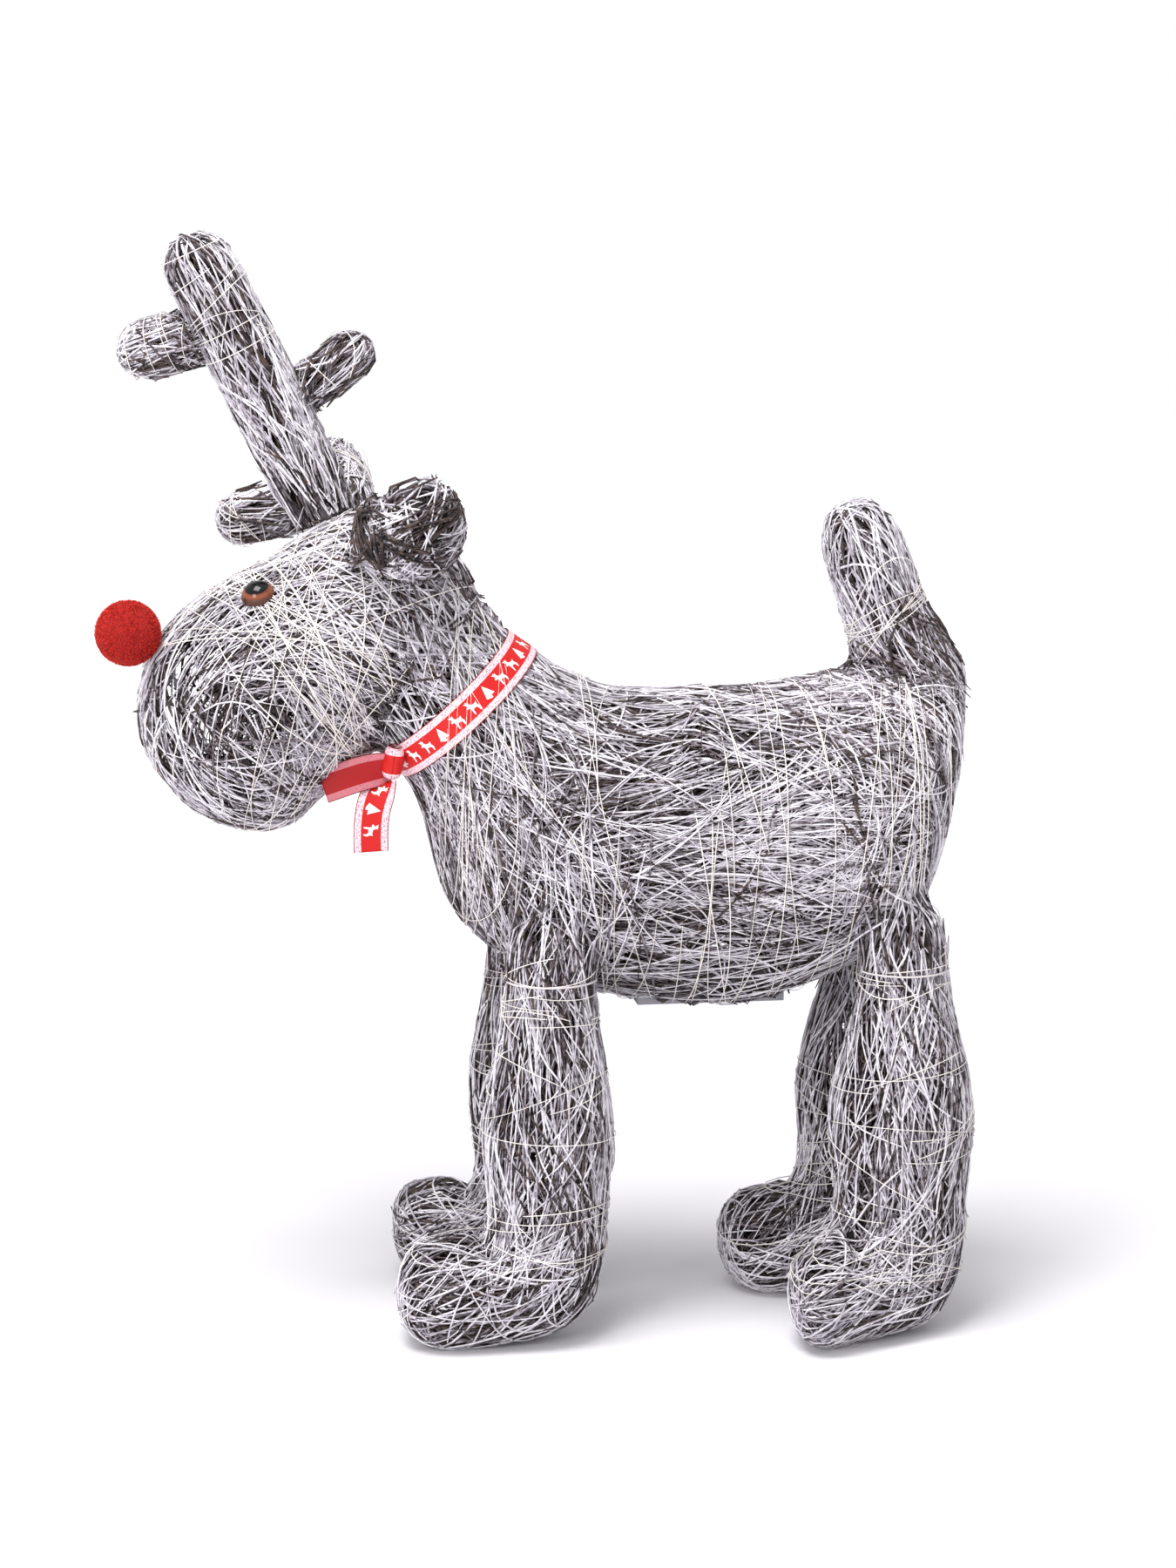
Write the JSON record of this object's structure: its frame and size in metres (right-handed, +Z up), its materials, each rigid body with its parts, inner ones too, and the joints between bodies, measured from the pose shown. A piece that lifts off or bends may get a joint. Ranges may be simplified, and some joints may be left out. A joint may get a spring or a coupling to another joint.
{
  "type": "light up yard reindeer",
  "caption": "Standing reindeer figure of painted twigs wound over a wire frame, with antlers, tied ribbon collar, pom-pom nose, bead eyes and a battery light set in the belly.",
  "frame": {"origin": "middle of the bounding box on the ground, between the four feet", "axes": "+Z up, the nose points to -X, the reindeer's left side to -Y"},
  "size_m": [0.5307, 0.3815, 0.6664],
  "materials": {
    "wound_twigs": "fine painted twigs, pale grey with a lilac cast, thread bound",
    "frame_wire": "grey coated steel wire",
    "bead_eye": "polished, black pupil in a brown iris",
    "washer_plastic": "natural white",
    "pompom_yarn": "fluffy red yarn",
    "cord_white": "twisted cotton",
    "ribbon_weave": "ribbed red weave with pale dotted borders",
    "tie_thread": "cream binding thread over wire",
    "case_plastic": "moulded, fine grain",
    "steel_bright": "plated",
    "cell_jacket": "plain printed sleeve",
    "spring_brass": "plated spring leaf",
    "board_laminate": "glass laminate",
    "lead_sleeve": "clear grey vinyl",
    "lamp_resin": "clear warm white"
  },
  "bodies": {
    "reindeer": {"front_left_leg": "wound_twigs", "front_right_leg": "wound_twigs", "hind_left_leg": "wound_twigs", "hind_right_leg": "wound_twigs", "tail": "wound_twigs", "left_antler_wire": "frame_wire", "left_antler_beam": "wound_twigs", "left_front_tine": "wound_twigs", "left_rear_tine": "wound_twigs", "right_antler_wire": "frame_wire", "right_antler_beam": "wound_twigs", "right_front_tine": "wound_twigs", "right_rear_tine": "wound_twigs", "left_ear": "wound_twigs", "right_ear": "wound_twigs", "left_eye": "bead_eye", "left_eye_washer": "washer_plastic", "right_eye": "bead_eye", "right_eye_washer": "washer_plastic", "pompom_nose": "pompom_yarn", "nose_tie": "cord_white", "head": "wound_twigs", "head_hoops": "frame_wire", "body_hoops": "frame_wire", "spine_wire": "frame_wire", "front_leg_wire": "frame_wire", "hind_leg_wire": "frame_wire", "ribbon_collar": "ribbon_weave", "ribbon_knot": "ribbon_weave", "ribbon_long_tail": "ribbon_weave", "ribbon_short_tail": "ribbon_weave", "battery_case": "case_plastic", "hinge_pin": "steel_bright", "battery_cells": "cell_jacket", "contact_springs": "spring_brass", "timer_board": "board_laminate", "light_lead": "lead_sleeve", "light_lamps": "lamp_resin", "trunk": "wound_twigs", "leg_ties": "tie_thread"},
    "battery_cover": {"battery_cover": "case_plastic", "cover_screw": "steel_bright"},
    "switch_slider": {"switch_slider": "case_plastic"}
  },
  "joints": [
    {"name": "cover_hinge", "type": "hinge", "parent": "reindeer", "child": "battery_cover", "pos_m": [0.144, -0.06435, 0.201], "axis": [0, -1, 0], "range_deg": [0, 95]},
    {"name": "switch_slide", "type": "slide", "parent": "reindeer", "child": "switch_slider", "axis": [0, 1, 0], "range_m": [0, 0.004]}
  ]
}
